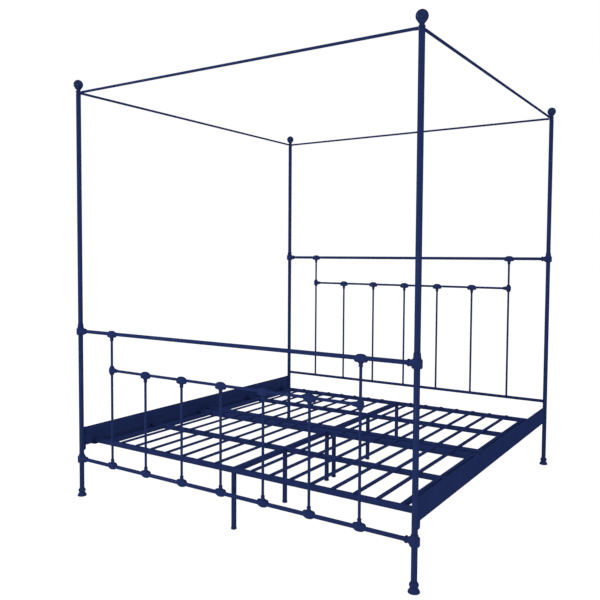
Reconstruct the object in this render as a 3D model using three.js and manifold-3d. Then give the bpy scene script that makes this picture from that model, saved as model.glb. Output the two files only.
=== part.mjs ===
// Four poster canopy bed, king size, in millimetres.
// Frame: the origin is on the floor under the middle of the bed, +X points to the
// right of someone who stands at the foot and looks at the headboard, +Y points
// from the foot to the head, and +Z points up.
import * as THREE from 'three';
import { mergeVertices } from 'three/addons/utils/BufferGeometryUtils.js';
import Module from 'manifold-3d';

// ---- Driving dimensions ----

// Where the four posts stand, centre to centre.
const postSpacingX = 1960;
const postSpacingY = 2060;

// Heights of the rail axes above the floor.
const headTopHeight = 1315;
const headMiddleHeight = 1121;
const headLowHeight = 407;
const footTopHeight = 910;
const footMiddleHeight = 717;
const footBottomHeight = 206;
const canopyHeight = 2192;

// Round tubes: outer radius and wall.
const postRadius = 12.7;
const postWall = 1.4;
const railRadius = 9.5;
const railWall = 1.2;
const middleRailRadius = 7.1;
const spindleRadius = 6.35;
const spindleWall = 1;
const canopyRadius = 6.35;
const legRadius = 12.5;
const legWall = 1.2;

// Each board divides the space between its posts into this many equal bays.
const bays = 8;

// Side rails: steel angle, with the web upright and the ledge turned inwards.
const sideRailBottom = 275;
const sideRailDepth = 102;
const sideRailLedge = 30;
const sideRailThickness = 2.5;
const sideRailOffset = 4.4;
const sideRailEndGap = 1.4;
const ledgeSetback = 55;

// Slat sections: two welded frames that lie end to end on the ledges.
const barWidth = 25;
const barHeight = 24;
const barWall = 1.5;
const barEndGap = 6;
const joiningBarWidth = 55;
const sectionEndBar = 102;
const joiningBarCentre = 41.5;
const sideMemberInset = 105;
const sideMemberWidth = 20;
const sideMemberHeight = 20;
const beamWidth = 25;
const slatsPerSide = 7;
const slatPitch = 110;
const slatWidth = 20;
const slatHeight = 7;
const slatWall = 1.5;
const slatEndInset = 14;

// Castings. A wall is measured from the tube that the casting holds.
const castingOverlap = 24;
const castingLip = 1.8;

// Tee: an oval dome over the rail, and a stem for the upright.
const teeHalfLength = 31;
const teeDepthRatio = 0.55;
const teeCrown = 7.5;
const teeRimInset = 5;
const teeRimRise = 1;
const teeShoulderInset = 3;
const teeStem = 37;
const teeMouthWall = 2.8;
const teeMouthHeight = 9;
const teeWaistInset = 1.2;
const teeRootFlare = 4;

// Sleeve round a stile, and its branch round the end of the middle rail.
const stileSleeveWall = 9.2;
const stileSleeveHalfHeight = 24;
const stileSleeveChamfer = 5;
const stileBranchLength = 38;
const stileBranchWall = 2.2;
const stileBranchFlare = 6;

// Knuckle round a post, and its beaded branch.
const knuckleWall = 8.8;
const knuckleHalfHeight = 21;
const knuckleChamfer = 2.4;
const knuckleChamferHeight = 5;
const taperWall = 3.6;
const jointTaper = 20;
const lowTaper = 6;
const knuckleBranch = 43;
const branchRootWall = 10;
const branchNeckWall = 3;
const branchNeckSetback = 13;
const branchRingWall = 5.8;
const branchRingSetback = 8;

// Shoe: a base band, a waist, a bead and a lip.
const shoeHeight = 43;
const shoeFloor = 12;
const shoeBaseWall = 11.5;
const shoeBaseHeight = 5;
const shoeWaistWall = 3;
const shoeBeadWall = 6.5;
const shoeBeadHeight = 7;
const shoeLipHeight = 6;

// Canopy corner: stacked rod tongues under a screwed finial.
const tongueThickness = 3;
const tongueWidth = 12.4;
const tongueEyeRadius = 11;
const tongueReach = 16;
const studRadius = 4;
const studDepth = 30;
const capThickness = 6;
const collarWall = 0.8;
const collarHeight = 8;
const neckRadius = 8.6;
const neckDrop = 31;
const ballRadius = 25;
const ballRise = 43;
const spigotLength = 70;

// Post bracket: a plate with two shouldered studs for the rail's keyholes.
const bracketThickness = 4;
const bracketReach = 34;
const bracketBottom = 248;
const keyholeInset = 10;
const keyholeMargin = 26;
const keyholeStudRadius = 3.5;
const keyholeHeadRadius = 6;
const keyholeHeadHeight = 3;
const keyholeDrop = 13;

// Leg feet.
const legFootWall = 1.8;
const legFootHeight = 10;

// Clearances: between pieces that seat on each other, and round a stud. Welded
// bodies run into each other by the weld depth, and cuts run past a face by more.
const seatGap = 0.3;
const studGap = 0.4;
const weldDepth = 0.5;
const cutPast = 1;

// Numbers of sides of the round pieces.
const postSides = 12;
const railSides = 10;
const spindleSides = 8;
const studSides = 8;

const paint = new THREE.MeshStandardMaterial({ color: 0x1f2c5c, roughness: 0.45, metalness: 0.1 });

// ---- Geometry helpers ----

const wasm = await Module();
wasm.setup();

// A round body about +Z from a profile of [radius, height] points, listed so that
// the outside climbs. It starts and ends on the axis, or closes on itself.
function turned(profile, sides) {
  const points = profile.map(([radius, height]) => new THREE.Vector2(radius, height));
  return new THREE.LatheGeometry(points, sides).rotateX(Math.PI / 2);
}

function rod(radius, bottom, top, sides) {
  return turned([[0, bottom], [radius, bottom], [radius, top], [0, top]], sides);
}

function tube(radius, wall, bottom, top, sides) {
  const bore = radius - wall;
  return turned([[bore, bottom], [radius, bottom], [radius, top], [bore, top], [bore, bottom]], sides);
}

function box(sizeX, sizeY, sizeZ, x, y, z) {
  return new THREE.BoxGeometry(sizeX, sizeY, sizeZ).translate(x, y, z);
}

// Turns a body that was made along +Z so that it lies along +X.
const alongX = (geometry) => geometry.rotateY(Math.PI / 2);

function toManifold(geometry) {
  const plain = geometry.clone();
  plain.deleteAttribute('normal');
  plain.deleteAttribute('uv');
  const merged = mergeVertices(plain, 1e-4);
  const index = merged.getIndex().array;
  const triangles = [];
  for (let i = 0; i < index.length; i += 3) {
    const [a, b, c] = index.slice(i, i + 3);
    if (a !== b && b !== c && c !== a) triangles.push(a, b, c);
  }
  const vertProperties = new Float32Array(merged.attributes.position.array);
  return new wasm.Manifold(new wasm.Mesh({ numProp: 3, vertProperties, triVerts: new Uint32Array(triangles) }));
}

function toGeometry(solid) {
  const mesh = solid.getMesh();
  const geometry = new THREE.BufferGeometry();
  geometry.setAttribute('position', new THREE.BufferAttribute(mesh.vertProperties, 3));
  geometry.setIndex(new THREE.BufferAttribute(mesh.triVerts, 1));
  geometry.computeVertexNormals();
  return geometry;
}

// Joins the first list of geometries and takes the second list away from it.
function welded(pieces, cuts = []) {
  let solid = toManifold(pieces[0]);
  for (const piece of pieces.slice(1)) solid = solid.add(toManifold(piece));
  for (const cut of cuts) solid = solid.subtract(toManifold(cut));
  return toGeometry(solid);
}

// ---- The bed and its corners ----

const bed = new THREE.Group();

function place(name, geometry, x = 0, y = 0, z = 0, turn = 0) {
  const mesh = new THREE.Mesh(geometry, paint);
  mesh.name = name;
  mesh.position.set(x, y, z);
  mesh.rotation.z = turn;
  bed.add(mesh);
}

const halfX = postSpacingX / 2;
const halfY = postSpacingY / 2;

const ends = [
  { name: 'foot', y: -halfY, topHeight: footTopHeight },
  { name: 'head', y: halfY, topHeight: headTopHeight },
];
const sides = [
  { name: 'left', x: -halfX },
  { name: 'right', x: halfX },
];

// The bed is the same on its left and right, so one geometry serves both sides,
// turned by half a turn where it points inwards.
const inwardTurn = (side) => (side.x < 0 ? 0 : Math.PI);

// ---- Posts, shoes and finials ----

const postBore = postRadius - postWall;
const spigotRadius = postBore - seatGap;
const postTop = canopyHeight - 2 * tongueThickness;
const postJoint = (railHeight) => railHeight + knuckleHalfHeight + seatGap;

function lowerPost(railHeight) {
  return tube(postRadius, postWall, shoeFloor + seatGap, postJoint(railHeight), postSides);
}

// A tube with a swaged spigot at its foot and a drilled cap at its top.
function canopyPost(railHeight) {
  const shoulder = postJoint(railHeight) + seatGap;
  const spigotBore = spigotRadius - postWall;
  const hole = studRadius + studGap;
  return turned([
    [spigotBore, shoulder - spigotLength],
    [spigotRadius, shoulder - spigotLength],
    [spigotRadius, shoulder],
    [postRadius, shoulder],
    [postRadius, postTop],
    [hole, postTop],
    [hole, postTop - capThickness],
    [postBore, postTop - capThickness],
    [postBore, shoulder + postWall],
    [spigotBore, shoulder - postWall],
    [spigotBore, shoulder - spigotLength],
  ], postSides);
}

// A cast shoe with a flared base, a waist and a beaded mouth that holds the post.
function postShoe() {
  const mouth = postRadius + seatGap;
  const base = mouth + shoeBaseWall;
  const bead = mouth + shoeBeadWall;
  const beadTop = shoeHeight - shoeLipHeight;
  return turned([
    [0, 0],
    [base, 0],
    [base, shoeBaseHeight],
    [mouth + shoeWaistWall, shoeHeight / 2],
    [bead, beadTop - shoeBeadHeight],
    [bead, beadTop],
    [mouth + castingLip, shoeHeight],
    [mouth, shoeHeight],
    [mouth, shoeFloor],
    [0, shoeFloor],
  ], postSides);
}

// The finial's collar clamps the rod tongues on the post, and its stud screws
// down through them into the post cap.
const tongueStackTop = postTop + 3 * seatGap + 2 * tongueThickness;

function finial() {
  const collarRadius = postRadius + collarWall;
  const collarBottom = tongueStackTop - canopyHeight;
  const profile = [
    [0, -studDepth],
    [studRadius, -studDepth],
    [studRadius, collarBottom],
    [collarRadius, collarBottom],
    [collarRadius, collarBottom + collarHeight],
    [neckRadius, ballRise - neckDrop],
  ];
  // A cone runs from the neck to the ball and touches it at this angle.
  const startAngle = Math.atan2(neckRadius, neckDrop)
    + Math.acos(ballRadius / Math.hypot(neckRadius, neckDrop));
  const steps = 5;
  for (let i = 0; i < steps; i += 1) {
    const angle = startAngle + ((Math.PI - startAngle) * i) / steps;
    profile.push([ballRadius * Math.sin(angle), ballRise - ballRadius * Math.cos(angle)]);
  }
  profile.push([0, ballRise + ballRadius]);
  return turned(profile, postSides);
}

for (const end of ends) {
  for (const side of sides) {
    const corner = `${end.name}_${side.name}`;
    place(`lower_post_${corner}`, lowerPost(end.topHeight), side.x, end.y);
    place(`canopy_post_${corner}`, canopyPost(end.topHeight), side.x, end.y);
    place(`post_shoe_${corner}`, postShoe(), side.x, end.y);
    place(`finial_${corner}`, finial(), side.x, end.y, canopyHeight);
  }
}

// ---- Canopy rods ----

// A tube with a drilled flat tongue in each end. It is made along +X with its
// middle at the origin, and its tongues lie at the given height above the axis.
function canopyRod(length, tongueBottom) {
  const tubeHalf = length / 2 - tongueReach;
  const tubeBody = alongX(tube(canopyRadius, spindleWall, -tubeHalf, tubeHalf, spindleSides));
  const tongues = [];
  const holes = [];
  for (const way of [-1, 1]) {
    const eye = (way * length) / 2;
    const tongueTop = tongueBottom + tongueThickness;
    tongues.push(box(2 * tongueReach, tongueWidth, tongueThickness,
      eye - way * tongueReach, 0, (tongueBottom + tongueTop) / 2));
    tongues.push(rod(tongueEyeRadius, tongueBottom, tongueTop, railSides).translate(eye, 0, 0));
    holes.push(rod(studRadius + studGap, tongueBottom - cutPast, tongueTop + cutPast, studSides)
      .translate(eye, 0, 0));
  }
  return welded([tubeBody, ...tongues], holes);
}

const lowerTongue = postTop + seatGap - canopyHeight;
const upperTongue = lowerTongue + tongueThickness + seatGap;
for (const end of ends) {
  place(`canopy_rod_${end.name}`, canopyRod(postSpacingX, lowerTongue), 0, end.y, canopyHeight);
}
for (const side of sides) {
  const geometry = canopyRod(postSpacingY, upperTongue);
  place(`canopy_rod_${side.name}`, geometry, side.x, 0, canopyHeight, Math.PI / 2);
}

// ---- Headboard and footboard ----

// A cast tee: an oval dome round the rail, with a beaded stem that points along
// -Z or, with way = 1, along +Z. Its axis crosses the rail's at the origin.
function tee(way) {
  const crown = railRadius + teeCrown;
  const dome = turned([
    [0, -crown],
    [teeHalfLength - teeRimInset, -crown + teeRimRise],
    [teeHalfLength, -crown / 2],
    [teeHalfLength - teeShoulderInset, crown / 2],
    [0, crown],
  ], railSides).scale(1, teeDepthRatio, 1);
  const mouth = spindleRadius + seatGap + teeMouthWall;
  const root = -railRadius - teeRootFlare;
  const stem = turned([
    [0, -teeStem],
    [mouth, -teeStem],
    [mouth - teeWaistInset, -teeStem + teeMouthHeight],
    [mouth + teeRootFlare, root],
    [0, root],
  ], spindleSides);
  if (way < 0) return [dome, stem];
  return [dome.rotateX(Math.PI), stem.rotateX(Math.PI)];
}

// The blind hole in a tee's stem that takes the end of a spindle.
function teeSocket(way) {
  const bore = spindleRadius + seatGap;
  const socket = rod(bore, -teeStem - cutPast, -teeStem + castingOverlap, spindleSides);
  return way < 0 ? socket : socket.rotateX(Math.PI);
}

// The casting at each end of a middle rail: a short sleeve round the stile.
function stileSleeve() {
  const half = stileSleeveHalfHeight;
  const outer = spindleRadius + seatGap + stileSleeveWall;
  return turned([
    [0, -half],
    [outer - stileSleeveChamfer, -half],
    [outer, -half / 2],
    [outer, half / 2],
    [outer - stileSleeveChamfer, half],
    [0, half],
  ], spindleSides);
}

// The sleeve's short branch round the end of the rail.
function stileBranch(x, way) {
  const mouth = middleRailRadius + stileBranchWall;
  const cone = alongX(turned([
    [0, 0],
    [mouth + stileBranchFlare, 0],
    [mouth, stileBranchLength],
    [0, stileBranchLength],
  ], spindleSides));
  if (way < 0) cone.rotateZ(Math.PI);
  return cone.translate(x, 0, 0);
}

const bayX = (bay) => -halfX + (bay * postSpacingX) / bays;
const innerBays = [2, 3, 4, 5, 6];
const outerBays = [1, bays - 1];

// A thick rail between two post knuckles, with a cast tee at each listed bay.
function knuckledRail(teeBays, way) {
  const half = halfX - knuckleBranch + castingOverlap;
  const pieces = [alongX(rod(railRadius, -half, half, railSides))];
  const cuts = [alongX(rod(railRadius - railWall, -half - cutPast, half + cutPast, railSides))];
  for (const bay of teeBays) {
    pieces.push(...tee(way).map((piece) => piece.translate(bayX(bay), 0, 0)));
    cuts.push(teeSocket(way).translate(bayX(bay), 0, 0));
  }
  return welded(pieces, cuts);
}

// A thin rail between the stiles, with a tee for each spindle and a sleeve round
// each stile.
function middleRail() {
  const half = bayX(bays - 1);
  const pieces = [alongX(rod(middleRailRadius, -half, half, spindleSides))];
  const cuts = [alongX(rod(middleRailRadius - spindleWall, -half, half, spindleSides))];
  for (const bay of innerBays) {
    pieces.push(...tee(-1).map((piece) => piece.translate(bayX(bay), 0, 0)));
    cuts.push(teeSocket(-1).translate(bayX(bay), 0, 0));
  }
  for (const bay of outerBays) {
    const x = bayX(bay);
    const past = stileSleeveHalfHeight + cutPast;
    pieces.push(stileSleeve().translate(x, 0, 0), stileBranch(x, x < 0 ? 1 : -1));
    cuts.push(rod(spindleRadius + seatGap, -past, past, spindleSides).translate(x, 0, 0));
  }
  return welded(pieces, cuts);
}

// The low headboard rail runs from post to post and is welded to them.
function lowRail() {
  const half = halfX - postRadius - seatGap;
  return alongX(tube(railRadius, railWall, -half, half, railSides));
}

const socketFloor = teeStem - castingOverlap + seatGap;

function spindle(bottom, top) {
  return tube(spindleRadius, spindleWall, bottom, top, spindleSides);
}

const boards = [
  {
    end: ends[0],
    prefix: 'footboard',
    topHeight: footTopHeight,
    middleHeight: footMiddleHeight,
    lowEnd: footBottomHeight + socketFloor,
  },
  {
    end: ends[1],
    prefix: 'headboard',
    topHeight: headTopHeight,
    middleHeight: headMiddleHeight,
    lowEnd: headLowHeight + railRadius + seatGap,
  },
];

for (const board of boards) {
  const { prefix, topHeight, middleHeight, lowEnd } = board;
  const { y } = board.end;
  place(`${prefix}_top_rail`, knuckledRail(outerBays, -1), 0, y, topHeight);
  place(`${prefix}_middle_rail`, middleRail(), 0, y, middleHeight);
  for (const side of sides) {
    const x = bayX(side.x < 0 ? outerBays[0] : outerBays[1]);
    place(`${prefix}_stile_${side.name}`, spindle(lowEnd, topHeight - socketFloor), x, y);
  }
  for (const [order, bay] of innerBays.entries()) {
    const geometry = spindle(lowEnd, middleHeight - socketFloor);
    place(`${prefix}_spindle_${order + 1}`, geometry, bayX(bay), y);
  }
}
const allBays = [outerBays[0], ...innerBays, outerBays[1]];
place('footboard_bottom_rail', knuckledRail(allBays, 1), 0, -halfY, footBottomHeight);
place('headboard_low_rail', lowRail(), 0, halfY, headLowHeight);

// A cast knuckle: a sleeve round the post, and a beaded branch along +X with a
// blind hole for the rail. Its top tapers, and the taper is long where it hides
// the joint between a lower post and its canopy post.
function knuckle(taper) {
  const bore = postRadius + seatGap;
  const outer = bore + knuckleWall;
  const top = knuckleHalfHeight + taper;
  const sleeve = turned([
    [0, -knuckleHalfHeight],
    [outer - knuckleChamfer, -knuckleHalfHeight],
    [outer, -knuckleHalfHeight + knuckleChamferHeight],
    [outer, knuckleHalfHeight - knuckleChamferHeight],
    [bore + taperWall, knuckleHalfHeight - knuckleChamferHeight / 2],
    [bore + castingLip, top],
    [0, top],
  ], postSides);
  const railBore = railRadius + seatGap;
  const branch = alongX(turned([
    [0, 0],
    [railBore + branchRootWall, 0],
    [railBore + branchNeckWall, knuckleBranch - branchNeckSetback],
    [railBore + branchRingWall, knuckleBranch - branchRingSetback],
    [railBore + castingLip, knuckleBranch],
    [0, knuckleBranch],
  ], railSides));
  const postHole = rod(bore, -knuckleHalfHeight - cutPast, top + cutPast, postSides);
  const railHole = alongX(rod(railBore, 0, knuckleBranch + cutPast, railSides));
  return welded([sleeve, branch], [postHole, railHole]);
}

for (const side of sides) {
  const turn = inwardTurn(side);
  place(`headboard_knuckle_${side.name}`, knuckle(jointTaper), side.x, halfY, headTopHeight, turn);
  place(`footboard_knuckle_${side.name}`, knuckle(jointTaper), side.x, -halfY, footTopHeight, turn);
  place(`footboard_low_knuckle_${side.name}`, knuckle(lowTaper), side.x, -halfY, footBottomHeight, turn);
}

// ---- Side rails and their brackets ----

const railOuterFace = sideRailOffset;
const railWebInner = railOuterFace - sideRailThickness;
const sideRailTop = sideRailBottom + sideRailDepth;
const sideRailHalf = halfY - postRadius - sideRailEndGap;
const studHeights = [sideRailBottom + keyholeMargin, sideRailTop - keyholeMargin];
const studY = sideRailHalf - keyholeInset;

// Made for the right side, with the post axis at x = 0. Each end of the web has
// two keyholes: a slot that sits on a stud, and a round hole below it.
function sideRail() {
  const web = box(sideRailThickness, 2 * sideRailHalf, sideRailDepth,
    railWebInner + sideRailThickness / 2, 0, sideRailBottom + sideRailDepth / 2);
  const ledge = box(sideRailLedge, 2 * (sideRailHalf - ledgeSetback), sideRailThickness,
    railOuterFace - sideRailLedge / 2, 0, sideRailBottom + sideRailThickness / 2);
  const cuts = [];
  const slot = keyholeStudRadius + studGap;
  const way = keyholeHeadRadius + studGap;
  const x = railWebInner - cutPast;
  const across = sideRailThickness + 2 * cutPast;
  for (const y of [-studY, studY]) {
    for (const height of studHeights) {
      const low = height - keyholeDrop;
      cuts.push(alongX(rod(slot, 0, across, studSides)).translate(x, y, height));
      cuts.push(box(across, 2 * slot, keyholeDrop, x + across / 2, y, (height + low) / 2));
      cuts.push(alongX(rod(way, 0, across, studSides)).translate(x, y, low));
    }
  }
  return welded([web, ledge], cuts);
}

// Made for the foot right corner, with the post axis at x = 0, y = 0. The plate
// lies on the outside of the rail's web, and its studs reach through the web.
function postBracket() {
  const plateInner = railOuterFace + seatGap;
  const nearPost = Math.sqrt((postRadius + seatGap) ** 2 - plateInner ** 2) + seatGap;
  const length = bracketReach - nearPost;
  const height = sideRailTop - bracketBottom;
  const plate = box(bracketThickness, length, height,
    plateInner + bracketThickness / 2, nearPost + length / 2, bracketBottom + height / 2);
  const pieces = [plate];
  for (const studHeight of studHeights) {
    const headOuter = railWebInner - seatGap;
    const y = halfY - studY;
    pieces.push(alongX(rod(keyholeStudRadius, headOuter - weldDepth, plateInner + weldDepth, studSides))
      .translate(0, y, studHeight));
    pieces.push(alongX(rod(keyholeHeadRadius, headOuter - keyholeHeadHeight, headOuter, studSides))
      .translate(0, y, studHeight));
  }
  return welded(pieces);
}

// Mirroring by scale would turn faces inside out, so the left side and the head
// end are reached by turning, and the mirrored corners by a mirrored geometry.
function mirroredY(geometry) {
  const solid = toManifold(geometry).mirror([0, 1, 0]);
  return toGeometry(solid);
}

place('side_rail_right', sideRail(), halfX, 0);
place('side_rail_left', sideRail(), -halfX, 0, 0, Math.PI);
place('post_bracket_foot_right', postBracket(), halfX, -halfY);
place('post_bracket_head_right', mirroredY(postBracket()), halfX, halfY);
place('post_bracket_head_left', postBracket(), -halfX, halfY, 0, Math.PI);
place('post_bracket_foot_left', mirroredY(postBracket()), -halfX, -halfY, 0, Math.PI);

// ---- Slat sections and their legs ----

const barBottom = sideRailBottom + sideRailThickness + seatGap;
const barTop = barBottom + barHeight;
const barMiddle = (barBottom + barTop) / 2;
const barHalfLength = halfX + railWebInner - barEndGap;
const endBarY = halfY - sectionEndBar;
const middleBarY = (endBarY + joiningBarCentre) / 2;
const sideMemberX = halfX - sideMemberInset;

// One welded section for the head half. Its cross-bars are tubes that rest on
// the ledges. Its centre beam and side members are channels open below, and so
// are its shallow slats, which lie on top with closed ends.
function slatSection() {
  const innerFace = joiningBarCentre - joiningBarWidth / 2;
  const outerFace = endBarY + barWidth / 2;
  const span = outerFace - innerFace;
  const middleY = (outerFace + innerFace) / 2;
  const bars = [
    { y: joiningBarCentre, width: joiningBarWidth },
    { y: middleBarY, width: barWidth },
    { y: endBarY, width: barWidth },
  ];
  const pieces = [];
  const cuts = [];
  const members = [
    { x: -sideMemberX, width: sideMemberWidth, height: sideMemberHeight },
    { x: 0, width: beamWidth, height: barHeight },
    { x: sideMemberX, width: sideMemberWidth, height: sideMemberHeight },
  ];
  for (const { x, width, height } of members) {
    pieces.push(box(width, span - 2 * barWall, height, x, middleY, barTop - height / 2));
  }
  for (const bar of bars) {
    const bore = bar.width - 2 * barWall;
    pieces.push(box(2 * barHalfLength, bar.width, barHeight, 0, bar.y, barMiddle));
    cuts.push(box(2 * (barHalfLength + cutPast), bore, barHeight - 2 * barWall, 0, bar.y, barMiddle));
    cuts.push(rod(studRadius + studGap, barBottom - cutPast, barMiddle, studSides).translate(0, bar.y, 0));
  }
  const slatTop = barTop - weldDepth + slatHeight;
  const slatInside = slatTop - slatWall - barTop;
  const slatBore = slatWidth - 2 * slatWall;
  const slatLength = span - 2 * slatEndInset;
  const slatPlaces = [];
  for (let i = 1; i <= slatsPerSide; i += 1) slatPlaces.push(-i * slatPitch, i * slatPitch);
  for (const x of slatPlaces) {
    pieces.push(box(slatWidth, slatLength, slatHeight, x, middleY, slatTop - slatHeight / 2));
    cuts.push(box(slatBore, slatLength - 2 * slatWall, slatInside, x, middleY, barTop + slatInside / 2));
  }
  for (const [order, bar] of bars.slice(1).entries()) {
    const from = bars[order].y + bars[order].width / 2;
    const to = bar.y - bar.width / 2;
    for (const x of slatPlaces) {
      cuts.push(box(slatBore, to - from, 2 * weldDepth, x, (from + to) / 2, barTop));
    }
    for (const { x, width } of members) {
      cuts.push(box(width - 2 * barWall, to - from, barHeight - barWall + cutPast,
        x, (from + to) / 2, barMiddle - (barWall + cutPast) / 2));
    }
  }
  return welded(pieces, cuts);
}

place('slat_section_head', slatSection());
place('slat_section_foot', slatSection(), 0, 0, 0, Math.PI);

// A tube leg with a wider foot, a closed top, and a stud into the cross-bar.
function supportLeg() {
  const top = barBottom - seatGap;
  const ceiling = top - 2 * legWall;
  const studTop = barMiddle - cutPast;
  const bore = legRadius - legWall;
  const foot = legRadius + legFootWall;
  return turned([
    [bore, 0],
    [foot, 0],
    [foot, legFootHeight],
    [legRadius, legFootHeight + legFootWall],
    [legRadius, top],
    [studRadius, top],
    [studRadius, studTop],
    [0, studTop],
    [0, ceiling],
    [bore, ceiling],
    [bore, 0],
  ], spindleSides);
}

const legRows = [-endBarY, -middleBarY, -joiningBarCentre, joiningBarCentre, middleBarY, endBarY];
for (const [order, y] of legRows.entries()) {
  place(`support_leg_${order + 1}`, supportLeg(), 0, y);
}

export default bed;
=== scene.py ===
import math

import bpy
from mathutils import Matrix, Vector


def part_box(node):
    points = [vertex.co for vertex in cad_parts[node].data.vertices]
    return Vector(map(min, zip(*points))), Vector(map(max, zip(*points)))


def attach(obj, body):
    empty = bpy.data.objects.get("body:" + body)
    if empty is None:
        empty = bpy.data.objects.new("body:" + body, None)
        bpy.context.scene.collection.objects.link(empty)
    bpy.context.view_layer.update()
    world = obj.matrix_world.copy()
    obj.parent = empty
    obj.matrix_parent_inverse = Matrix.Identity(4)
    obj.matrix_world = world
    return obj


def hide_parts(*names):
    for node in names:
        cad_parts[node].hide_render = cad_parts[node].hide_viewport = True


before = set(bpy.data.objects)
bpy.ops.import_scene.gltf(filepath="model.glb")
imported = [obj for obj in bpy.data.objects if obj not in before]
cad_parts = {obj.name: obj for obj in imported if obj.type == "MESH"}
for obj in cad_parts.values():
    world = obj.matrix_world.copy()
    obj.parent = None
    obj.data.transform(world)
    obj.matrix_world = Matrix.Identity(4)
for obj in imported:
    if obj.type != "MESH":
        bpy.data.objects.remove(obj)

# Forms are made in millimetres and become Blender meshes in metres. The sizes of
# the tubes and castings are those of the solids, and their places come from the frame.
MM = 0.001
TAU = 2 * math.pi

# Round tubes: the outer radius, and the wall.
POST, POST_WALL = 12.7, 1.4
RAIL, RAIL_WALL = 9.5, 1.2
MIDDLE_RAIL = 7.1
SPINDLE, SPINDLE_WALL = 6.35, 1.0
LEG, LEG_WALL = 12.5, 1.2

# The radius of a threaded stud, and of the hole that it goes through.
STUD, STUD_HOLE = 4.0, 4.4

# The clearance between pieces that fit together.
GAP = 0.3

# Edges stay sharp from this many degrees on: in a plain form, and in a cut one.
SHARP_EDGE, SHARP_CUT = 40, 35

CORNERS = [(end, side) for end in ("foot", "head") for side in ("left", "right")]
SIDES = ("left", "right")

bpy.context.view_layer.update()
scene = bpy.context.scene


def box(node):
    """Lowest and highest corner of a node, in millimetres."""
    low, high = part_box(node)
    return low / MM, high / MM


def centre(node):
    low, high = box(node)
    return (low + high) / 2


# ---- Node materials ----

class Socket:
    """A shader value whose arithmetic adds Math nodes."""

    def __init__(self, finish, socket):
        self.finish = finish
        self.socket = socket

    def math(self, operation, *values):
        return self.finish.node("ShaderNodeMath", {"operation": operation}, dict(enumerate(values)))

    def __add__(self, other):
        return self.math("ADD", self, other)

    def __sub__(self, other):
        return self.math("SUBTRACT", self, other)

    def __rsub__(self, other):
        return self.math("SUBTRACT", other, self)

    def __mul__(self, other):
        return self.math("MULTIPLY", self, other)

    __radd__ = __add__


class Finish:
    """A node material, or the world when it is given one."""

    def __init__(self, name, owner=None):
        self.owner = owner or bpy.data.materials.new(name)
        self.owner.use_nodes = True
        self.tree = self.owner.node_tree
        self.tree.nodes.clear()

    def node(self, kind, settings=None, inputs=None, output=0):
        """Adds a node: its settings first, then the values or links of its sockets."""
        node = self.tree.nodes.new(kind)
        for name, value in (settings or {}).items():
            setattr(node, name, value)
        for name, value in (inputs or {}).items():
            if isinstance(value, Socket):
                self.tree.links.new(value.socket, node.inputs[name])
            else:
                node.inputs[name].default_value = value
        return Socket(self, node.outputs[output]) if node.outputs else node

    def noise(self, place, scale, detail):
        sockets = {"Vector": place, "Scale": scale, "Detail": detail}
        return self.node("ShaderNodeTexNoise", None, sockets)

    def ramp(self, value, low, high):
        """0 where the value is below low, 1 where it is above high."""
        sockets = {"Value": value, "From Min": low, "From Max": high}
        return self.node("ShaderNodeMapRange", {"clamp": True}, sockets)

    def blend(self, mask, first, second):
        """The first colour where the mask is 0, the second where it is 1."""
        sockets = {0: mask, 6: first, 7: second}
        return self.node("ShaderNodeMix", {"data_type": "RGBA"}, sockets, output=2)


def colour(red, green, blue):
    """A linear colour from the usual 0 to 255 numbers."""
    def linear(part):
        share = part / 255
        return share / 12.92 if share <= 0.04045 else ((share + 0.055) / 1.055) ** 2.4
    return (linear(red), linear(green), linear(blue), 1)


NAVY = colour(32, 45, 89)
NAVY_WORN = colour(39, 54, 103)
NAVY_DEEP = colour(28, 40, 81)
NAVY_UNDER_GLOSS = colour(18, 36, 80)
NAVY_DEEP_UNDER_GLOSS = colour(14, 32, 73)


def powder_coat(name, peel_height, grain_height, roughness,
                edge_lift=0.0, gloss=0.035, tones=(NAVY_DEEP, NAVY)):
    """Navy powder coat: a slow orange peel, a fine grain, soft clouds and rare nibs.

    The heights are in millimetres. The edge lift is how far corners take the worn
    tone. The gloss is a clear coat's weight, which fades out where the surface turns
    away from the eye.
    """
    nib_height = 0.05
    finish = Finish(name)
    place = finish.node("ShaderNodeTexCoord", output="Object")
    clouds = finish.noise(place, scale=7, detail=3)
    drift = finish.noise(place, scale=45, detail=2)
    peel = finish.noise(place, scale=380, detail=1.5)
    grain = finish.noise(place, scale=2400, detail=1)
    cells = finish.node("ShaderNodeTexVoronoi", None, {"Vector": place, "Scale": 150.0})
    nibs = 1 - finish.ramp(cells, 0.05, 0.16)
    tone = finish.ramp(clouds * 0.6 + drift * 0.4, 0.3, 0.7)
    paint = finish.blend(tone, *tones)
    paint = finish.blend(finish.ramp(grain, 0.55, 0.8) * 0.35, paint, NAVY_WORN)
    if edge_lift:
        edges = finish.node("ShaderNodeNewGeometry", output="Pointiness")
        paint = finish.blend(finish.ramp(edges, 0.52, 0.6) * edge_lift, paint, NAVY_WORN)
    height = peel * peel_height + grain * grain_height + nibs * nib_height
    bump = finish.node("ShaderNodeBump", None, {
        "Strength": 1.0, "Distance": MM, "Height": height})
    shine = roughness + (drift - 0.5) * 0.12 + (grain - 0.5) * 0.08
    tilt = finish.node("ShaderNodeLayerWeight", None, {"Blend": 0.5}, output="Facing")
    lacquer = (1 - finish.ramp(tilt, 0.3, 0.75)) * gloss
    coat = finish.node("ShaderNodeBsdfPrincipled", None, {
        "Base Color": paint, "Roughness": shine, "Normal": bump,
        "Specular IOR Level": 0.0, "Coat Weight": lacquer, "Coat Roughness": 0.12})
    finish.node("ShaderNodeOutputMaterial", None, {"Surface": coat})
    return finish.owner


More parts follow.
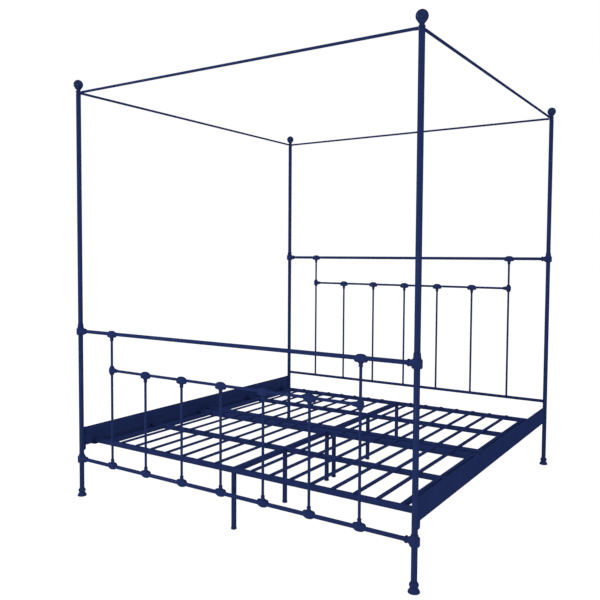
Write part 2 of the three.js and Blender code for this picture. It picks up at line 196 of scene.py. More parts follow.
TUBE_COAT = powder_coat("powder_coat_on_tube", 0.10, 0.02, 0.40)
PLATE_COAT = powder_coat("powder_coat_on_plate", 0.14, 0.02, 0.44)
CAST_COAT = powder_coat("powder_coat_on_casting", 0.16, 0.05, 0.42, edge_lift=0.5)
FOOT_CAP = powder_coat("moulded_leg_foot", 0.03, 0.06, 0.52)
FINIAL_COAT = powder_coat("gloss_coat_on_finial", 0.03, 0.01, 0.40, gloss=0.22,
                          tones=(NAVY_DEEP_UNDER_GLOSS, NAVY_UNDER_GLOSS))


# ---- Forms ----

class Form:
    """Points in millimetres and the faces between them, seen from outside."""

    def __init__(self, points, faces):
        self.points = [Vector(point) for point in points]
        self.faces = faces

    def __add__(self, other):
        return joined([self, other])

    def mirrored(self):
        """The form seen in a mirror that stands across Y."""
        points = [(point.x, -point.y, point.z) for point in self.points]
        return Form(points, [tuple(reversed(face)) for face in self.faces])

    def under(self, matrix):
        return Form([matrix @ point for point in self.points], self.faces)

    def at(self, x=0, y=0, z=0):
        return self.under(Matrix.Translation((x, y, z)))

    def along_x(self):
        return self.under(Matrix.Rotation(math.pi / 2, 4, "Y"))

    def upside_down(self):
        return self.under(Matrix.Rotation(math.pi, 4, "X"))

    def flattened(self, share):
        """Squeezes the form along Y."""
        return self.under(Matrix.Diagonal((1, share, 1, 1)))


def joined(forms):
    """One form out of many, which keep their own skins."""
    points, faces = [], []
    for form in forms:
        start = len(points)
        points += form.points
        faces += [tuple(start + corner for corner in face) for face in form.faces]
    return Form(points, faces)


def arc(radius, start, sweep, steps, up=0.0):
    """Points on an arc about (0, up), with both its ends."""
    angles = [start + sweep * step / steps for step in range(steps + 1)]
    return [(radius * math.cos(angle), up + radius * math.sin(angle)) for angle in angles]


def rounded(corners, steps=6):
    """An outline from corners (across, up), or (across, up, radius) for a rounded one."""
    outline = []
    for order, corner in enumerate(corners):
        here = Vector(corner[:2])
        if len(corner) == 2:
            outline.append(tuple(here))
            continue
        back = (Vector(corners[order - 1][:2]) - here).normalized()
        on = (Vector(corners[(order + 1) % len(corners)][:2]) - here).normalized()
        half = back.angle(on) / 2
        reach = corner[2] / math.tan(half)
        middle = here + (back + on).normalized() * (corner[2] / math.sin(half))
        start, end = here + back * reach - middle, here + on * reach - middle
        sweep = start.angle(end)
        for step in range(steps + 1):
            part = step / steps
            spoke = start * math.sin((1 - part) * sweep) + end * math.sin(part * sweep)
            outline.append(tuple(middle + spoke / math.sin(sweep)))
    return outline


def turned(outline, sides=64):
    """A round form about +Z from (radius, height) pairs, the outside climbing.

    The outline ends on the axis, or closes on its first point.
    """
    closed = outline[0] == outline[-1]
    points, rings = [], []
    for radius, height in outline[:-1] if closed else outline:
        if radius == 0:
            rings.append([len(points)] * sides)
            points.append((0, 0, height))
            continue
        rings.append(range(len(points), len(points) + sides))
        for side in range(sides):
            angle = TAU * side / sides
            points.append((radius * math.cos(angle), radius * math.sin(angle), height))
    if closed:
        rings.append(rings[0])
    faces = []
    for low, high in zip(rings, rings[1:]):
        for side in range(sides):
            after = (side + 1) % sides
            face = tuple(dict.fromkeys((low[side], low[after], high[after], high[side])))
            if len(face) > 2:
                faces.append(face)
    return Form(points, faces)


def rod(radius, bottom, top, sides=64):
    return turned([(0, bottom), (radius, bottom), (radius, top), (0, top)], sides)


def pipe(radius, wall, bottom, top, sides=64):
    """A round tube with eased rims."""
    ease = 0.4
    outline = rounded([
        (radius - wall, bottom, ease), (radius, bottom, ease),
        (radius, top, ease), (radius - wall, top, ease),
    ], steps=2)
    return turned(outline + outline[:1], sides)


def skinned(rings):
    """A closed skin over rings of equally many points, each a flat loop."""
    size = len(rings[0])
    points = [point for ring in rings for point in ring]
    faces = [tuple(reversed(range(size)))]
    for low in range(0, len(points) - size, size):
        for corner in range(size):
            after = (corner + 1) % size
            faces.append((low + corner, low + after, low + size + after, low + size + corner))
    faces.append(tuple(range(len(points) - size, len(points))))
    return Form(points, faces)


def extruded(outline, bottom, top):
    """A bar along +Z with the given outline, listed anticlockwise."""
    return skinned([[(x, y, z) for x, y in outline] for z in (bottom, top)])


def along_y(outline, start, end):
    """A bar along Y whose outline is drawn across X and up Z."""
    return extruded(outline, -end, -start).under(Matrix.Rotation(math.pi / 2, 4, "X"))


def box_outline(width, height, radius):
    half_width, half_height = width / 2, height / 2
    return rounded([
        (-half_width, -half_height, radius), (half_width, -half_height, radius),
        (half_width, half_height, radius), (-half_width, half_height, radius),
    ], steps=4)


def box_pipe(width, height, wall, bottom, top):
    """A rectangular tube along +Z with rounded edges, open at both ends."""
    radius = 2.0
    outer = box_outline(width, height, radius)
    inner = box_outline(width - 2 * wall, height - 2 * wall, radius - wall)
    size = len(outer)
    loops = [(outer, bottom), (outer, top), (inner, top), (inner, bottom)]
    points = [(x, y, z) for loop, z in loops for x, y in loop]
    faces = []
    for order in range(4):
        low, high = order * size, (order + 1) % 4 * size
        for corner in range(size):
            after = (corner + 1) % size
            faces.append((low + corner, low + after, high + after, high + corner))
    return Form(points, faces)


def bead(path, radius, away, sides=8):
    """A weld bead: a rippled round cord along a path, thin at its open ends.

    The away direction is never along the path.
    """
    ripple_pitch, ripple_share, end_share = 2.4, 0.13, 0.35
    same_place = 1e-6
    closed = (path[0] - path[-1]).length < same_place
    length = 0.0
    rings = []
    for order, point in enumerate(path):
        before = path[order - 1] if order else (path[-2] if closed else path[0])
        after = path[order + 1] if order + 1 < len(path) else (path[1] if closed else path[-1])
        tangent = (after - before).normalized()
        if order:
            length += (point - path[order - 1]).length
        across = tangent.cross(away).normalized()
        up = across.cross(tangent)
        swell = radius * (1 + ripple_share * math.cos(TAU * length / ripple_pitch))
        if not closed and order in (0, len(path) - 1):
            swell *= end_share
        ring = []
        for side in range(sides):
            angle = TAU * side / sides
            ring.append(point + (up * math.cos(angle) - across * math.sin(angle)) * swell)
        rings.append(ring)
    return skinned(rings)


def straight(start, end):
    """A bead's path along a straight seam."""
    step = 0.8
    start, end = Vector(start), Vector(end)
    count = max(2, round((end - start).length / step))
    return [start.lerp(end, order / count) for order in range(count + 1)]


def saddle(upright, lying):
    """The closed line where an upright tube meets a lying one, whose axis is X."""
    steps = 48
    path = []
    for step in range(steps + 1):
        angle = TAU * step / steps
        across = upright * math.sin(angle)
        height = math.sqrt(lying ** 2 - across ** 2)
        path.append(Vector((upright * math.cos(angle), across, height)))
    return path


# ---- Meshes and pieces ----

def mesh_of(form, finish):
    mesh = bpy.data.meshes.new("form")
    mesh.from_pydata([point * MM for point in form.points], [], form.faces)
    mesh.update()
    mesh.shade_smooth()
    mesh.set_sharp_from_angle(angle=math.radians(SHARP_EDGE))
    mesh.materials.append(finish)
    return mesh


def worked(mesh, finish, modifiers):
    """The mesh that comes out of a list of (kind, settings) modifiers."""
    blank = bpy.data.objects.new("blank", mesh)
    scene.collection.objects.link(blank)
    for kind, settings in modifiers:
        modifier = blank.modifiers.new(kind, kind)
        for name, value in settings.items():
            setattr(modifier, name, value)
    graph = bpy.context.evaluated_depsgraph_get()
    result = bpy.data.meshes.new_from_object(blank.evaluated_get(graph))
    result.materials.clear()
    result.materials.append(finish)
    bpy.data.objects.remove(blank)
    return result


def bored(mesh, finish, cutters, operation="DIFFERENCE"):
    """The mesh with closed forms cut out of it, or joined to it."""
    tools = []
    for cutter in cutters:
        tool = bpy.data.objects.new("cutter", mesh_of(cutter, finish))
        scene.collection.objects.link(tool)
        tools.append(tool)
    cuts = [("BOOLEAN", {"operation": operation, "solver": "EXACT", "object": tool})
            for tool in tools]
    result = worked(mesh, finish, cuts)
    for tool in tools:
        bpy.data.objects.remove(tool)
    result.shade_smooth()
    result.set_sharp_from_angle(angle=math.radians(SHARP_CUT))
    return result


def cast(form, bores, grain=0.9):
    """Melts closed forms into one casting with soft corners where they meet, and bores it."""
    filing = 6
    blank = mesh_of(form, CAST_COAT)
    melted = worked(blank, CAST_COAT, [
        ("REMESH", {"mode": "VOXEL", "voxel_size": grain * MM}),
        ("SMOOTH", {"factor": 0.5, "iterations": filing}),
    ])
    return bored(melted, CAST_COAT, bores)


def piece(name, mesh, place=(0, 0, 0), turn=0.0, body="bed_frame", stands_for=None):
    """Puts a mesh in its place on its body, and in the place of the node it stands for."""
    made = bpy.data.objects.new(name, mesh)
    scene.collection.objects.link(made)
    made.location = Vector(place) * MM
    made.rotation_euler.z = turn
    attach(made, body)
    if stands_for:
        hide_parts(stands_for)
    return made


# ---- Posts, shoes and finials ----

SPIGOT, SPIGOT_LENGTH = POST - POST_WALL - GAP, 70.0
CAP_THICK = 6.0

# The finial's ball: its radius, and its middle above the canopy rods' axis.
BALL, BALL_RISE = 25.0, 43.0
FINIAL_TIP = BALL + BALL_RISE


def canopy_tube(node):
    """A canopy post about its own axis: a swaged spigot below, and a drilled cap at the top."""
    low, high = box(node)
    shoulder, cap = low.z + SPIGOT_LENGTH, high.z - CAP_THICK
    inside, bore = SPIGOT - POST_WALL, POST - POST_WALL
    outline = rounded([
        (inside, low.z, 0.4), (SPIGOT, low.z, 0.6), (SPIGOT, shoulder, 0.3), (POST, shoulder, 0.5),
        (POST, high.z, 0.8), (STUD_HOLE, high.z), (STUD_HOLE, cap), (bore, cap),
        (bore, shoulder + POST_WALL), (inside, shoulder - POST_WALL),
    ], steps=3)
    return turned(outline + outline[:1])


def shoe():
    """A cast shoe: a base band, a hollow flare, a waist, a bead and a lip."""
    socket, top, floor = POST + GAP, 43, 12
    return turned(rounded([
        (0, 0), (24.3, 0, 1.0), (24.3, 5.6, 1.4), (15.9, 19.5, 9.0), (15.6, 24.6, 1.6),
        (19.4, 26.6, 2.6), (19.4, 35.8, 3.4), (15.0, 38.6, 1.4), (14.8, top, 0.8),
        (socket, top), (socket, floor), (0, floor),
    ]), sides=96)


def finial_ball():
    """A turned finial about the post's axis, with the canopy rods' axis at the origin."""
    neck, drop = 8.7, 31.5
    stud_end, collar, collar_low, collar_top = -30, 13.5, 0.9, 7.2
    touch = math.atan2(neck, drop) + math.acos(BALL / math.hypot(neck, drop))
    start = (BALL * math.sin(touch), BALL_RISE - BALL * math.cos(touch))
    outline = rounded([
        (0, stud_end), (STUD, stud_end, 1.0), (STUD, collar_low), (collar, collar_low, 0.7),
        (collar, collar_top, 2.4), (neck, BALL_RISE - drop, 3.4), start,
    ])
    steps = 40
    for step in range(1, steps):
        angle = touch + (math.pi - touch) * step / steps
        outline.append((BALL * math.sin(angle), BALL_RISE - BALL * math.cos(angle)))
    outline.append((0, FINIAL_TIP))
    return turned(outline, sides=96)


shoe_mesh = mesh_of(shoe(), CAST_COAT)
finial_mesh = mesh_of(finial_ball(), FINIAL_COAT)
for end, side in CORNERS:
    corner = f"{end}_{side}"
    post = centre(f"lower_post_{corner}")
    low, high = box(f"lower_post_{corner}")
    tube = pipe(POST, POST_WALL, low.z, high.z)
    piece(f"lower_post_{corner}.tube", mesh_of(tube, TUBE_COAT), (post.x, post.y, 0),
          stands_for=f"lower_post_{corner}")
    canopy = canopy_tube(f"canopy_post_{corner}")
    piece(f"canopy_post_{corner}.tube", mesh_of(canopy, TUBE_COAT), (post.x, post.y, 0),
          stands_for=f"canopy_post_{corner}")
    piece(f"post_shoe_{corner}.casting", shoe_mesh, (post.x, post.y, 0),
          stands_for=f"post_shoe_{corner}")
    tip = box(f"finial_{corner}")[1].z
    piece(f"finial_{corner}.turned", finial_mesh, (post.x, post.y, tip - FINIAL_TIP),
          body=f"finial_{corner}", stands_for=f"finial_{corner}")


# ---- Canopy rods ----

TONGUE_THICK = 3.0


def canopy_rod(length, tongue_middle):
    """A tube along +X, middle at the origin, with a flat drilled tongue welded into each end."""
    half = length / 2
    reach, eye, half_thick, half_wide, drill_past = 16.0, 11.0, TONGUE_THICK / 2, 6.2, 4
    shell = mesh_of(rod(SPINDLE, reach - half, half - reach, 48).along_x(), TUBE_COAT)
    opening = math.asin(half_wide / eye)
    rim = arc(eye, -math.pi + opening, TAU - 2 * opening, 32)
    outline = [(-2 * reach, -half_wide), *rim, (-2 * reach, half_wide)]
    tongue = extruded(outline, tongue_middle - half_thick, tongue_middle + half_thick)
    ends = [tongue.at(x=half), tongue.under(Matrix.Rotation(math.pi, 4, "Z")).at(x=-half)]
    easing = {"width": 0.5 * MM, "segments": 3,
              "limit_method": "ANGLE", "angle_limit": math.radians(50)}
    eased = worked(bored(shell, TUBE_COAT, ends, "UNION"), TUBE_COAT, [("BEVEL", easing)])
    drill = rod(STUD_HOLE, tongue_middle - drill_past, tongue_middle + drill_past, 32)
    return bored(eased, TUBE_COAT, [drill.at(x=x) for x in (-half, half)])


canopy_axis = box("finial_foot_left")[1].z - FINIAL_TIP
corner_post = centre("lower_post_head_right")
lower_tongue = -2 * TONGUE_THICK + GAP + TONGUE_THICK / 2
upper_tongue = lower_tongue + TONGUE_THICK + GAP
for edges, span, middle, turn in (
    (("foot", "head"), 2 * corner_post.x, lower_tongue, 0),
    (SIDES, 2 * corner_post.y, upper_tongue, math.pi / 2),
):
    mesh = canopy_rod(span, middle)
    for edge in edges:
        node = f"canopy_rod_{edge}"
        place = centre(node)
        piece(f"{node}.tube", mesh, (place.x, place.y, canopy_axis), turn, stands_for=node)


# ---- Headboard and footboard ----

BAYS = 8
TEE_STEM, TEE_DEPTH_RATIO = 37.0, 0.55
CASTING_OVERLAP = 24
KNUCKLE_HALF = 21.0
BRANCH = 43.0

# How far a knuckle narrows above its shoulder: at the posts' joints, and low down.
JOINT_TAPER, LOW_TAPER = 20, 6

# A ring of weld stands this far off the tube that it runs round.
WELD_LIFT = 0.2


def tee_form():
    """The cast tee of an upright: an oval dome, flat below, and a waisted stem along -Z."""
    dome = turned(rounded([
        (0, -17), (27.5, -17, 2.5), (31, -12, 4), (31, -3, 7),
        (28, 8, 7), (17, 15, 12), (8, 17, 10), (0, 17),
    ]), sides=96).flattened(TEE_DEPTH_RATIO)
    stem = turned(rounded([
        (0, -TEE_STEM), (9.4, -TEE_STEM, 0.9), (9.6, -32, 1.2), (8.4, -28.5, 2.5),
        (9.4, -23, 4), (15.5, -14.5), (0, -10),
    ]))
    return dome + stem


def tee_socket():
    past = 2
    return rod(SPINDLE + GAP, -TEE_STEM - past, -TEE_STEM + CASTING_OVERLAP)


def sleeve_form():
    """The olive round a stile, with a short cone along +X for the end of the middle rail."""
    tall = 24
    olive = turned(rounded([
        (0, -tall), (9.2, -tall, 1.5), (15.9, -9, 12), (15.9, 9, 12), (9.2, tall, 1.5), (0, tall),
    ]))
    reach = 38
    cone = turned(rounded([
        (0, 0), (14.6, 0), (13.4, 13, 5), (9.6, 33, 6), (9.3, reach, 0.8), (0, reach),
    ]))
    return olive + cone.along_x()


def knuckle_form(taper):
    """A sleeve round the post, shouldered above, and a beaded branch along +X."""
    top = KNUCKLE_HALF + taper
    sleeve = [
        (0, -KNUCKLE_HALF), (19.0, -KNUCKLE_HALF, 1.5), (21.8, -15.5, 3.5), (21.8, 13.5, 3),
        (16.9, 17.5, 1.6),
    ]
    if taper > LOW_TAPER:
        sleeve += [(15.4, 27, 14)]
    sleeve += [(14.6, top, 0.8), (0, top)]
    branch = [
        (0, 0), (19.6, 0), (19.0, 14, 4), (13.2, 26, 5), (13.0, 30.5, 2), (15.7, 33, 1.8),
        (15.7, 37, 1.8), (12.2, 40, 1.4), (11.9, BRANCH, 0.8), (0, BRANCH),
    ]
    return turned(rounded(sleeve)) + turned(rounded(branch)).along_x()


def knuckle(taper):
    """A knuckle's casting, bored for its post and for its rail."""
    past = 3
    post = rod(POST + GAP, -KNUCKLE_HALF - past, KNUCKLE_HALF + taper + past)
    rail = rod(RAIL + GAP, 0, BRANCH + past).along_x()
    return cast(knuckle_form(taper), [post, rail], grain=0.8)


TEE = cast(tee_form(), [tee_socket()])
TEE_UP = cast(tee_form().upside_down(), [tee_socket().upside_down()])
SLEEVE = cast(sleeve_form(), [rod(SPINDLE + GAP, -30, 30)])
KNUCKLE = knuckle(JOINT_TAPER)
LOW_KNUCKLE = knuckle(LOW_TAPER)

half_width = centre("lower_post_head_right").x


def bay_x(bay):
    """Where a bay's line stands across the bed, counted from the left post."""
    return -half_width + 2 * half_width * bay / BAYS


# The stiles stand on the outer lines between bays, and the spindles on the rest.
INNER_BAYS = range(2, BAYS - 1)
OUTER_BAYS = (1, BAYS - 1)


def rail_tube(node, axis):
    """The round tube of a thick rail, between the ends of its node."""
    low, high = box(node)
    tube = pipe(RAIL, RAIL_WALL, low.x, high.x).along_x()
    piece(f"{node}.tube", mesh_of(tube, TUBE_COAT), (0, centre(node).y, axis), stands_for=node)


def tees(node, mesh, bays, axis):
    """A rail's tees, one on each of the given lines between bays."""
    for order, bay in enumerate(bays):
        place = (bay_x(bay), centre(node).y, axis)
        piece(f"{node}.tee_{order + 1}", mesh, place)


def upright(node, weld_height=None):
    """A thin tube, and the weld round its foot where it stands on the low rail."""
    low, high = box(node)
    place = centre(node)
    form = pipe(SPINDLE, SPINDLE_WALL, low.z, high.z, sides=48)
    if weld_height:
        ring = saddle(SPINDLE + WELD_LIFT, RAIL)
        form += bead(ring, 1.5, Vector((0, 0, 1))).at(z=weld_height)
    piece(f"{node}.tube", mesh_of(form, TUBE_COAT), (place.x, place.y, 0), stands_for=node)


for end in ("head", "foot"):
    board = f"{end}board"
    top_axis = box(f"{board}_top_rail")[0].z + TEE_STEM
    middle_axis = box(f"{board}_middle_rail")[0].z + TEE_STEM
    rail_tube(f"{board}_top_rail", top_axis)
    tees(f"{board}_top_rail", TEE, OUTER_BAYS, top_axis)

    node = f"{board}_middle_rail"
    y = centre(node).y
    from_stile = 8
    start, stop = bay_x(1) + from_stile, bay_x(BAYS - 1) - from_stile
    tube = pipe(MIDDLE_RAIL, SPINDLE_WALL, start, stop).along_x()
    piece(f"{node}.tube", mesh_of(tube, TUBE_COAT), (0, y, middle_axis), stands_for=node)
    tees(node, TEE, INNER_BAYS, middle_axis)
    for side, bay, turn in zip(SIDES, OUTER_BAYS, (0, math.pi)):
        piece(f"{node}.sleeve_{side}", SLEEVE, (bay_x(bay), y, middle_axis), turn)

    weld_height = centre("headboard_low_rail").z if end == "head" else None
    for side in SIDES:
        upright(f"{board}_stile_{side}", weld_height)
    for order in range(1, len(INNER_BAYS) + 1):
        upright(f"{board}_spindle_{order}", weld_height)
    for side, turn in zip(SIDES, (0, math.pi)):
        node = f"{board}_knuckle_{side}"
        post = centre(f"lower_post_{end}_{side}")
        piece(f"{node}.casting", KNUCKLE, (post.x, post.y, top_axis), turn, stands_for=node)

node = "footboard_bottom_rail"
bottom_axis = box(node)[1].z - TEE_STEM
rail_tube(node, bottom_axis)
tees(node, TEE_UP, range(1, BAYS), bottom_axis)
for side, turn in zip(SIDES, (0, math.pi)):
    node = f"footboard_low_knuckle_{side}"
    post = centre(f"lower_post_foot_{side}")
    piece(f"{node}.casting", LOW_KNUCKLE, (post.x, post.y, bottom_axis), turn,
          stands_for=node)


def low_rail():
    """The low headboard rail, with a weld round each end where it meets a post."""
    low, high = box("headboard_low_rail")
    form = pipe(RAIL, RAIL_WALL, low.x, high.x).along_x()
    ring = saddle(RAIL + WELD_LIFT, POST)
    upright_ring = Matrix.Rotation(math.pi / 2, 4, "Y")
    path = [upright_ring @ point for point in ring]
    left = bead(path, 1.7, Vector((1, 0, 0)))
    form += left.at(x=-half_width)
    form += left.under(Matrix.Rotation(math.pi, 4, "Z")).at(x=half_width)
    return form


place = centre("headboard_low_rail")
piece("headboard_low_rail.tube", mesh_of(low_rail(), TUBE_COAT), (0, place.y, place.z),
      stands_for="headboard_low_rail")


# ---- Side rails and brackets ----

RAIL_THICK = 2.5
LEDGE_SETBACK = 55.0

# Keyholes and bracket studs: above the rail's foot, from its end, and from the post.
HOLE_HEIGHTS, HOLE_FROM_END = (26.0, 76.0), 10
STUD_FROM_POST = 24.1


def keyhole():
    """A cutter along X: a slot for a stud's shank over a round hole for its head."""
    slot, head, drop, past = 3.9, 6.4, 13.0, 5
    opening = math.asin(slot / head)
    outline = arc(slot, 0, math.pi, 12)
    outline += arc(head, math.pi / 2 + opening, TAU - 2 * opening, 24, up=-drop)
    upright = Matrix.Rotation(math.pi / 2, 4, "Z") @ Matrix.Rotation(math.pi / 2, 4, "X")
    return extruded(outline, -past, past).under(upright)


def side_rail(node):
    """A folded angle: a tall web, and a ledge that points inwards from its foot."""
    low, high = box(node)
    wide, tall, thick = high.x - low.x, high.z - low.z, RAIL_THICK
    outline = rounded([
        (wide, 0, 2.0), (wide, tall, 0.8), (wide - thick, tall, 0.8),
        (wide - thick, thick, 1.2), (0, thick, 0.8), (0, 0, 0.8),
    ], steps=4)
    bar = along_y(outline, low.y, high.y).at(x=-wide)
    if low.x < 0:
        bar = bar.under(Matrix.Rotation(math.pi, 4, "Z")).at(x=low.x)
        web = low.x + thick / 2
    else:
        bar = bar.at(x=high.x)
        web = high.x - thick / 2
    bar = bar.at(z=low.z)
    cutters = []
    notch = box_outline(wide, thick * 4, 0.5)
    inner = web - math.copysign(wide / 2 + thick / 2, web)
    for y, setback in ((low.y, LEDGE_SETBACK), (high.y, -LEDGE_SETBACK)):
        start, end = sorted((y - setback, y + setback))
        cutters.append(along_y(notch, start, end).at(inner, 0, low.z))
    for y in (low.y + HOLE_FROM_END, high.y - HOLE_FROM_END):
        for height in HOLE_HEIGHTS:
            cutters.append(keyhole().at(web, y, low.z + height))
    return bored(mesh_of(bar, PLATE_COAT), PLATE_COAT, cutters)


def bracket_form(tall, rail_low):
    """A plate on the outside of the web, with two headed studs, welded to the post at the origin.

    The rail runs along +Y, and rail_low is the height of its foot above the plate's.
    """
    inner, thick, near, reach, ease = 4.7, 4.0, 12.4, 34.0, 0.6
    outline = rounded([(near, 0, 1.5), (reach, 0, 9), (reach, tall, 1.5), (near, tall, 1.5)])
    smaller = rounded([
        (near + ease, ease, 1.2), (reach - ease, ease, 8.4),
        (reach - ease, tall - ease, 1.2), (near + ease, tall - ease, 1.2),
    ])
    layers = ((smaller, 0), (outline, ease), (outline, thick - ease), (smaller, thick))
    plate = skinned([[(x, y, inner + depth) for x, y in shape] for shape, depth in layers])
    # The outline was drawn across X and up Y, and stands across Y and up Z.
    stand = Matrix(((0, 0, 1, 0), (1, 0, 0, 0), (0, 1, 0, 0), (0, 0, 0, 1)))
    form = plate.under(stand)
    head, shank, root = 6.0, 3.5, inner + 0.5
    stud = turned(rounded([
        (0, -1.4), (head, -1.4, 1.4), (head, 1.6, 0.5), (shank, 1.6), (shank, root), (0, root),
    ]), sides=40).along_x()
    for height in HOLE_HEIGHTS:
        form += stud.at(y=STUD_FROM_POST, z=rail_low + height)
    seam_end = 3
    seam = straight((8.5, 11.0, seam_end), (8.5, 11.0, tall - seam_end))
    return form + bead(seam, 2.1, Vector((1, 0, 0)))


for side in SIDES:
    node = f"side_rail_{side}"
    piece(f"{node}.angle", side_rail(node), stands_for=node)

for end, side in CORNERS:
    node = f"post_bracket_{end}_{side}"
    low, high = box(node)
    form = bracket_form(high.z - low.z, box(f"side_rail_{side}")[0].z - low.z)
    if (end, side) in (("head", "right"), ("foot", "left")):
        form = form.mirrored()
    post = centre(f"lower_post_{end}_{side}")
    turn = math.pi if side == "left" else 0
    piece(f"{node}.plate", mesh_of(form, PLATE_COAT), (post.x, post.y, low.z), turn,
          stands_for=node)


# ---- Slat sections and legs ----

SLATS, SLAT_PITCH = 7, 110.0
SLAT_WIDE, SLAT_HIGH, SLAT_END_INSET = 20.0, 7.0, 14.0
MEMBER_INSET, MEMBER_WIDE, MEMBER_HIGH = 105.0, 20.0, 20.0
BAR_WIDE, JOINING_BAR_WIDE, BAR_HIGH, BAR_WALL = 25.0, 55.0, 24.0, 1.5
LEGS = {"foot": (1, 2, 3), "head": (4, 5, 6)}


def channel_outline(wide, high):
    """A channel that is open below, its top at height 0."""
    half, wall = wide / 2, BAR_WALL
    return rounded([
        (-half, -high), (-half + wall, -high), (-half + wall, -wall, 0.8),
        (half - wall, -wall, 0.8), (half - wall, -high), (half, -high),
        (half, 0, 1.8), (-half, 0, 1.8),
    ], steps=4)


def slat_end_outline():
    """The wall that closes a slat's end, its top at height 0."""
    half = SLAT_WIDE / 2
    return rounded([
        (-half, -SLAT_HIGH), (half, -SLAT_HIGH), (half, 0, 1.8), (-half, 0, 1.8),
    ], steps=4)


def section_channels(spans, top):
    """The centre beam and side members between the cross-bars, and their welds."""
    member_x, from_edge = half_width - MEMBER_INSET, 2
    members = [
        (-member_x, MEMBER_WIDE, MEMBER_HIGH), (0, BAR_WIDE, BAR_HIGH),
        (member_x, MEMBER_WIDE, MEMBER_HIGH),
    ]
    channels, welds = [], []
    for x, wide, deep in members:
        for start, end in spans:
            channels.append(along_y(channel_outline(wide, deep), start, end).at(x, 0, top))
            for y in (start, end):
                for edge in (x - wide / 2, x + wide / 2):
                    path = straight((edge, y, top - deep + from_edge), (edge, y, top - from_edge))
                    welds.append(bead(path, 1.4, Vector((1, 0, 0))))
    return channels, welds


def section_slats(rows, start, end, bar_top, slat_top):
    """The slats from start to end, with closed ends, and their welds on each cross-bar."""
    half_weld, seam = 7, bar_top + 0.3
    slats, welds = [], []
    for number in range(1, SLATS + 1):
        for x in (-number * SLAT_PITCH, number * SLAT_PITCH):
            outline = channel_outline(SLAT_WIDE, SLAT_HIGH)
            slats.append(along_y(outline, start + BAR_WALL, end - BAR_WALL).at(x, 0, slat_top))
            for y in (start, end - BAR_WALL):
                slats.append(along_y(slat_end_outline(), y, y + BAR_WALL).at(x, 0, slat_top))
            for row in rows:
                near, far = max(row - half_weld, start), min(row + half_weld, end)
                for edge in (x - SLAT_WIDE / 2, x + SLAT_WIDE / 2):
                    path = straight((edge, near, seam), (edge, far, seam))
                    welds.append(bead(path, 1.3, Vector((0, 0, 1)), sides=6))
    return slats, welds


def slat_section(node, legs):
    """The cross-bars, the channels between them, the slats on top, and their welds."""
    low, high = box(node)
    middle, top = low.z + BAR_HIGH / 2, low.z + BAR_HIGH
    rows = sorted(centre(leg).y for leg in legs)
    joining = min(rows, key=abs)
    widths = {row: JOINING_BAR_WIDE if row == joining else BAR_WIDE for row in rows}
    bars = []
    for row in rows:
        bar = box_pipe(BAR_HIGH, widths[row], BAR_WALL, low.x, high.x).along_x()
        bars.append(bar.at(y=row, z=middle))
    spans = [(before + widths[before] / 2, after - widths[after] / 2)
             for before, after in zip(rows, rows[1:])]
    channels, channel_welds = section_channels(spans, top)
    slats, slat_welds = section_slats(
        rows, low.y + SLAT_END_INSET, high.y - SLAT_END_INSET, top, high.z)
    groups = {"cross_bars": bars, "channels": channels, "slats": slats,
              "welds": channel_welds + slat_welds}
    for name, forms in groups.items():
        stands_for = node if name == "cross_bars" else None
        piece(f"{node}.{name}", mesh_of(joined(forms), PLATE_COAT), stands_for=stands_for)


for end, numbers in LEGS.items():
    slat_section(f"slat_section_{end}", [f"support_leg_{number}" for number in numbers])


def leg_tube(top, stud_top):
    """A tube, closed above, with a stud into its cross-bar."""
    bore, bottom, under_cap = LEG - LEG_WALL, 3, top - 2.4
    return turned(rounded([
        (bore, bottom), (LEG, bottom), (LEG, top, 0.8), (STUD, top), (STUD, stud_top, 0.6),
        (0, stud_top), (0, under_cap), (bore, under_cap), (bore, bottom),
    ], steps=3), sides=48)


def leg_foot():
    """A moulded glide with a domed edge and a stop ring."""
    socket, floor = LEG + 0.1, 2.6
    return turned(rounded([
        (0, 0), (12.9, 0, 1.2), (13.9, 2.5, 2), (13.9, 8.2, 1.2), (12.9, 11.6, 0.8),
        (socket, 11.8), (socket, floor), (0, floor),
    ], steps=4), sides=48)


foot_mesh = mesh_of(leg_foot(), FOOT_CAP)
for end, numbers in LEGS.items():
    top = box(f"slat_section_{end}")[0].z - GAP
    for number in numbers:
        node = f"support_leg_{number}"
        place = centre(node)
        tube = leg_tube(top, box(node)[1].z)
        piece(f"{node}.tube", mesh_of(tube, TUBE_COAT), (place.x, place.y, 0), stands_for=node)
        piece(f"{node}.glide", foot_mesh, (place.x, place.y, 0))


# ---- Floor, world, lamps and camera ----

def seen_directly(finish):
    """1 for rays from the camera, and for what shiny or clear surfaces show."""
    rays = [finish.node("ShaderNodeLightPath", output=name)
            for name in ("Is Camera Ray", "Is Glossy Ray", "Is Transmission Ray")]
    return finish.node("ShaderNodeClamp", None, {0: rays[0] + rays[1] + rays[2]})


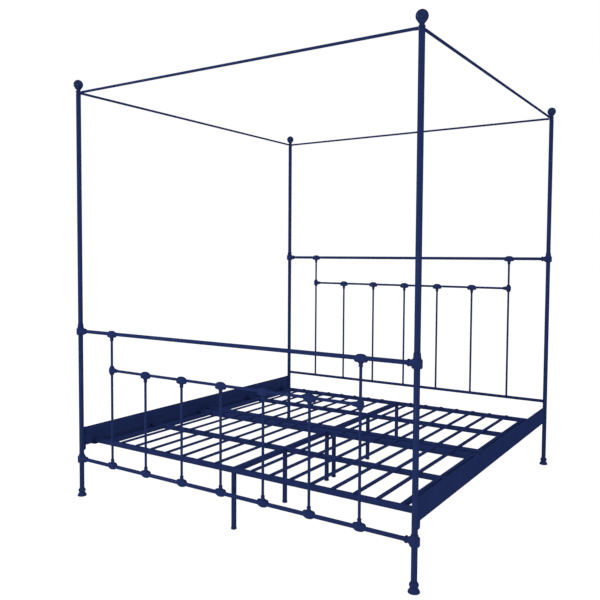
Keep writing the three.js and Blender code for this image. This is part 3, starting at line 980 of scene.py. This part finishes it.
def studio_floor():
    """A white floor that shows little but the bed's soft shadow."""
    finish = Finish("studio_floor")
    paper = finish.node("ShaderNodeBsdfDiffuse", None, {"Color": (0.9, 0.9, 0.9, 1)})
    glow = finish.node("ShaderNodeEmission", None, {"Color": (1, 1, 1, 1), "Strength": 1.07})
    glow_share = 0.88
    share = seen_directly(finish) * glow_share
    mixed = finish.node("ShaderNodeMixShader", None, {0: share, 1: paper, 2: glow})
    finish.node("ShaderNodeOutputMaterial", None, {"Surface": mixed})
    size = 60
    corners = [(-size, -size, 0), (size, -size, 0), (size, size, 0), (-size, size, 0)]
    mesh = bpy.data.meshes.new("floor")
    mesh.from_pydata(corners, [], [(0, 1, 2, 3)])
    mesh.materials.append(finish.owner)
    floor = bpy.data.objects.new("floor", mesh)
    scene.collection.objects.link(floor)


def studio_world(ambient):
    """A white surround that lights the bed with the ambient strength."""
    world = bpy.data.worlds.new("studio")
    finish = Finish("studio", world)
    strength = ambient + seen_directly(finish) * (1 - ambient)
    light = finish.node("ShaderNodeBackground", None, {"Color": (1, 1, 1, 1), "Strength": strength})
    finish.node("ShaderNodeOutputWorld", None, {"Surface": light})
    scene.world = world


def softbox(name, place):
    """A square lamp that points at the middle of the bed."""
    target, size, power = (0, 0, 1.0), 0.5, 42
    data = bpy.data.lights.new(name, "AREA")
    data.shape = "SQUARE"
    data.size = size
    data.energy = power
    lamp = bpy.data.objects.new(name, data)
    lamp.location = place
    lamp.rotation_euler = (Vector(target) - Vector(place)).to_track_quat("-Z", "Y").to_euler()
    scene.collection.objects.link(lamp)


def studio_camera():
    """The camera stands before the right foot corner, a little above the middle of the bed."""
    yaw, pitch, roll = 0.5891, -0.0491, 0.0052
    level = Vector((math.cos(yaw), math.sin(yaw), 0))
    ahead = Vector((
        -math.sin(yaw) * math.cos(pitch), math.cos(yaw) * math.cos(pitch), math.sin(pitch)))
    up = level.cross(ahead)
    right = math.cos(roll) * level + math.sin(roll) * up
    above = math.cos(roll) * up - math.sin(roll) * level
    data = bpy.data.cameras.new("camera")
    data.sensor_width = 36
    data.lens = 41.622
    data.shift_x = 0.02249
    data.shift_y = -0.01577
    camera = bpy.data.objects.new("camera", data)
    turn = Matrix((right, above, -ahead)).transposed()
    camera.matrix_world = Matrix.Translation((2.0443, -3.5380, 1.3218)) @ turn.to_4x4()
    scene.collection.objects.link(camera)
    scene.camera = camera


studio_floor()
studio_world(0.95)
softbox("front_softbox", (1.35, -6.25, 0.6))
softbox("left_softbox", (-3.5, -3.2, 2.15))
studio_camera()

scene.view_settings.view_transform = "Standard"
